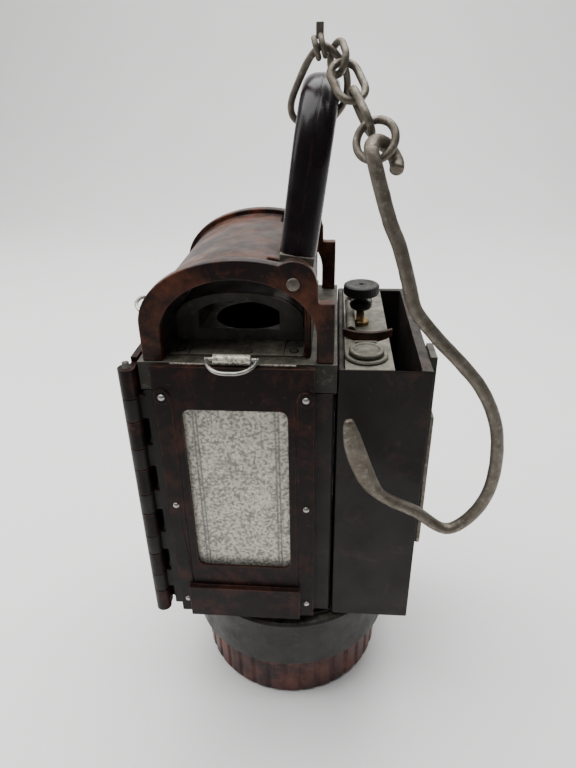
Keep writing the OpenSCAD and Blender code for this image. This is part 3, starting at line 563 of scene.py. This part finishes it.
# How far the sheet's top lies below the middle of the clip
CLIP_RISE = 2.7
CLIP_W = 16.5
CLIP_OUTER = 2.15
CLIP_INNER = 1.2
CLIP_STEPS = 28
CLIP_START = 180
CLIP_STOP = -135
RIM = 0.4
RIM_INSET = 0.12
GROOVES = (-20.4, -18.8, 18.0, 19.6)
GROOVE_DEPTH = 0.42
GROOVE_HALF_W = 0.5


def groove(x):
    return sum(GROOVE_DEPTH * math.exp(-((x - middle) / GROOVE_HALF_W) ** 2) for middle in GROOVES)


def ramp(value):
    return min(1.0, max(0.0, value))


def clip_outline(top, curl_y, curl_z):
    """The side view of the clip: a tongue that runs up from the sheet and curls round the ring's bar."""
    turns = [
        math.radians(CLIP_START + (CLIP_STOP - CLIP_START) * k / CLIP_STEPS)
        for k in range(CLIP_STEPS + 1)
    ]
    outline = [(0.0, top - 1.5)]
    outline += [(curl_y + CLIP_OUTER * math.cos(t), curl_z + CLIP_OUTER * math.sin(t)) for t in turns]
    outline += [
        (curl_y + CLIP_INNER * math.cos(t), curl_z + CLIP_INNER * math.sin(t))
        for t in reversed(turns)
    ]
    outline += [(SLIDE_T, top - 1.5)]
    return outline


def slide_sheet(form, foot, top):
    """The sheet, with grooves pressed into its face and its rim rounded."""
    mark = form.verts.layers.float.new(GROOVE_MARK)
    half = SLIDE_W / 2
    columns = int((SLIDE_W - 2 * RIM) / SLIDE_STEP)
    xs = [-half, -half + RIM]
    xs += [-half + RIM + (SLIDE_W - 2 * RIM) * k / columns for k in range(1, columns + 1)]
    xs += [half]
    zs = [foot, foot + RIM, foot + 4]
    zs += [foot + 4 + (top - foot - 8) * k / 12 for k in range(1, 13)]
    zs += [top - RIM, top]
    sides = []
    for rear in (False, True):
        rows = []
        for z in zs:
            fade = ramp((z - foot - 3) / 4) * ramp((top - z - 14) / 4)
            row = []
            for x in xs:
                inset = RIM_INSET if x in (-half, half) or z in (foot, top) else 0.0
                sunk = 0.0 if rear else groove(x) * fade
                y = SLIDE_T - inset if rear else inset + sunk
                row.append(form.verts.new(Vector((x, y, z)) * MM))
                row[-1][mark] = sunk / GROOVE_DEPTH
            rows.append(row)
        sides.append(rows)
        for a, b in zip(rows, rows[1:]):
            for i in range(len(xs) - 1):
                loop = (a[i], a[i + 1], b[i + 1], b[i])
                form.faces.new(loop[::-1] if rear else loop)
    near, far = sides
    last_row, last_column = len(zs) - 1, len(xs) - 1
    border = [(r, 0) for r in range(last_row + 1)]
    border += [(last_row, i) for i in range(1, last_column + 1)]
    border += [(r, last_column) for r in range(last_row - 1, -1, -1)]
    border += [(0, i) for i in range(last_column - 1, 0, -1)]
    for (r0, i0), (r1, i1) in zip(border, border[1:] + border[:1]):
        form.faces.new((near[r0][i0], near[r1][i1], far[r1][i1], far[r0][i0]))


def pressed_slide(node, origin, turn, foot, curl_y, curl_z):
    """A tin slide with its curled clip, drawn facing -Y about origin and turned about Z.

    curl_y and curl_z are the middle of the clip, in mm from origin.
    """
    top = curl_z - CLIP_RISE
    form = bmesh.new()
    slide_sheet(form, foot, top)
    clip = strip_skin(clip_outline(top, curl_y, curl_z), -CLIP_W / 2, CLIP_W / 2)
    joined = bpy.data.meshes.new("clip")
    clip.to_mesh(joined)
    clip.free()
    form.from_mesh(joined)
    bpy.data.meshes.remove(joined)
    form.transform(Matrix.Translation(origin) @ Matrix.Rotation(turn, 4, "Z"))
    mesh = to_mesh(form, node)
    mesh.set_sharp_from_angle(angle=math.radians(40))
    add_piece(mesh, node)


def make_slides():
    """The slide behind each window, just clear of the pane."""
    low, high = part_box("front_slide")
    ring = Vector(JOINTS["front_ring_swing"]["pos_m"]) / MM
    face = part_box("door_glass")[1].y / MM + GLASS_GAP
    origin = Vector(((low.x + high.x) / 2, face * MM, 0))
    pressed_slide("front_slide", origin, 0.0, low.z / MM, ring.y - face, ring.z)
    # The side slide faces left, and its foot stays clear of the frame at the bottom of its travel
    low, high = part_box("side_slide")
    ring = Vector(JOINTS["side_ring_swing"]["pos_m"]) / MM
    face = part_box("side_glass")[1].x / MM + GLASS_GAP
    origin = Vector((face * MM, (low.y + high.y) / 2, 0))
    pressed_slide("side_slide", origin, -math.pi / 2, low.z / MM + 0.15, ring.x - face, ring.z)


# ---------- knob ----------


KNOB_STEPS = 264
KNURLS = 44
KNURL_DEPTH = 0.11


def make_knob():
    """The valve's round knob, with a knurled rim."""
    centre = Vector(JOINTS["valve_turn"]["pos_m"])
    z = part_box("valve_knob")[0].z / MM
    outline = [
        # The bead at the foot
        (2.1, z + 2.4), (2.1, z), (3.3, z), (3.6, z + 0.15), (4.9, z + 0.9), (5.45, z + 1.8),
        (5.6, z + 2.6), (5.45, z + 3.4), (4.9, z + 4.3), (3.6, z + 4.95), (3.25, z + 5.3),
        # The neck and the rim
        (3.2, z + 7.2), (3.6, z + 7.5), (7.6, z + 8.0), (8.3, z + 8.25), (8.8, z + 8.8),
        (8.9, z + 9.4), (8.9, z + 12.2), (8.75, z + 12.8), (8.3, z + 13.2), (7.8, z + 13.3),
        # The dished top with the spindle's end
        (6.2, z + 13.3), (5.9, z + 13.12), (2.2, z + 13.12), (1.9, z + 13.3), (1.4, z + 13.3),
        (1.2, z + 13.1), (1.2, z + 12.2), (0.0, z + 12.2),
    ]

    def knurl(r, height, turn):
        if r > 8.6 and z + 9.0 < height < z + 12.6:
            return r - KNURL_DEPTH * (1 + math.cos(turn * KNURLS))
        return r

    mesh = to_mesh(lathe(outline, centre, KNOB_STEPS, knurl), "valve_knob")
    mesh.set_sharp_from_angle(angle=math.radians(45))
    add_piece(mesh, "valve_knob")


# ---------- every node ----------

# The width in mm to which each node's edges are rounded
ROUNDED = {
    "case_body": 0.6, "tank_box": 0.9, "side_frame": 0.1, "top_pan": 0.3, "hood_plate": 0.2,
    "corner_tabs": 0.2, "hood": 0.8, "inner_chimney": 0.2, "water_tank": 0.25, "gas_pipe": 0.15,
    "belt_rail": 0.35, "belt_block": 0.6, "belt_tongue": 0.3, "door_leaf": 0.4, "door_frame": 0.18,
    "handle_feet": 0.5, "thumb_bar": 0.12, "carbide_cup": 0.35, "base_collar": 0.3,
    "base_gasket": 0.3, "carbide_can": 0.2, "sling_tab": 0.15, "drip_tube": 0.15,
    "side_glass": 0.12, "door_glass": 0.12,
}
# Nodes that are round already, with the angle in degrees up to which they shade smoothly
ROUND = {
    "side_rivets": 50, "door_rivets": 50, "hinge_pin": 35, "hood_screws": 50, "pivot_rivets": 50,
    "filler_neck": 30, "vent_tube": 35, "rear_cap": 30, "valve_gland": 30, "burner_base": 30,
    "burner_tip": 30, "reflector": 30, "belt_rivets": 50, "front_ring": 40, "side_ring": 40,
    "valve_spindle": 30, "filler_cap": 30,
}

for node_name, edge_width in ROUNDED.items():
    rounded(node_name, edge_width)
for node_name, limit in ROUND.items():
    smooth(node_name, limit)
forged("hook", levels=1, roughness=0.18)
forged("sling", levels=1, roughness=0.08)
for number in range(1, 5):
    forged(f"chain_link_{number}", levels=0, roughness=0.06, grain=260.0)
make_handle()
make_slides()
make_knob()


# ---------- floor, light and camera ----------


def make_floor():
    """A sheet of pale paper that curves up behind the lamp."""
    half_w, front, back, bend, top, steps = 3.0, -2.0, 1.1, 0.6, 2.6, 24
    line = [(front, 0.0), (back, 0.0)]
    for k in range(1, steps + 1):
        turn = math.pi / 2 * k / steps
        line.append((back + bend * math.sin(turn), bend * (1 - math.cos(turn))))
    line.append((back + bend, top))
    form = bmesh.new()
    rows = [[form.verts.new((x, y, z)) for x in (-half_w, half_w)] for y, z in line]
    for a, b in zip(rows, rows[1:]):
        form.faces.new((a[0], a[1], b[1], b[0]))
    mesh = to_mesh(form, "floor")
    floor = bpy.data.objects.new("floor", mesh)
    SCENE.collection.objects.link(floor)
    mesh.materials.append(paper("paper"))


def make_lamp(name, place, target, size, power, color):
    """A soft rectangular light at place that looks at target, both in metres."""
    light = bpy.data.lights.new(name, "AREA")
    light.shape = "RECTANGLE"
    light.size, light.size_y = size
    light.energy = power
    light.color = color
    lamp = bpy.data.objects.new(name, light)
    SCENE.collection.objects.link(lamp)
    lamp.location = place
    lamp.rotation_mode = "QUATERNION"
    lamp.rotation_quaternion = (Vector(target) - Vector(place)).to_track_quat("-Z", "Y")


def make_camera():
    """The photograph's view: 28 degrees down, 5 degrees to the left, from the handle's height."""
    yaw, pitch, roll = math.radians(4.69), math.radians(28.22), math.radians(-0.99)
    level = math.cos(pitch)
    ahead = Vector((-math.sin(yaw) * level, math.cos(yaw) * level, -math.sin(pitch)))
    right = Vector((math.cos(yaw), math.sin(yaw), 0))
    up = right.cross(ahead)
    side = right * math.cos(roll) + up * math.sin(roll)
    top = up * math.cos(roll) - right * math.sin(roll)
    camera = bpy.data.cameras.new("camera")
    camera.lens = 27.39
    camera.sensor_width = 36.0
    camera.clip_start, camera.clip_end = 0.01, 20.0
    holder = bpy.data.objects.new("camera", camera)
    SCENE.collection.objects.link(holder)
    turn = Matrix((side, top, -ahead)).transposed()
    place = Vector((23.0, -281.5, 336.4)) * MM
    holder.matrix_world = Matrix.Translation(place) @ turn.to_4x4()
    SCENE.camera = holder


make_floor()
make_lamp("overhead", (-0.1, 0.25, 1.5), (0, 0.05, 0.1), (2.0, 1.6), 60, (1.0, 1.0, 1.0))
make_lamp("window", (-1.4, 0.1, 0.9), (0, 0, 0.15), (0.8, 1.2), 8, (1.0, 0.99, 0.97))
world = bpy.data.worlds.new("room")
world.use_nodes = True
sky = world.node_tree.nodes["Background"]
sky.inputs["Color"].default_value = (0.93, 0.96, 1.0, 1.0)
sky.inputs["Strength"].default_value = 0.15
SCENE.world = world
make_camera()
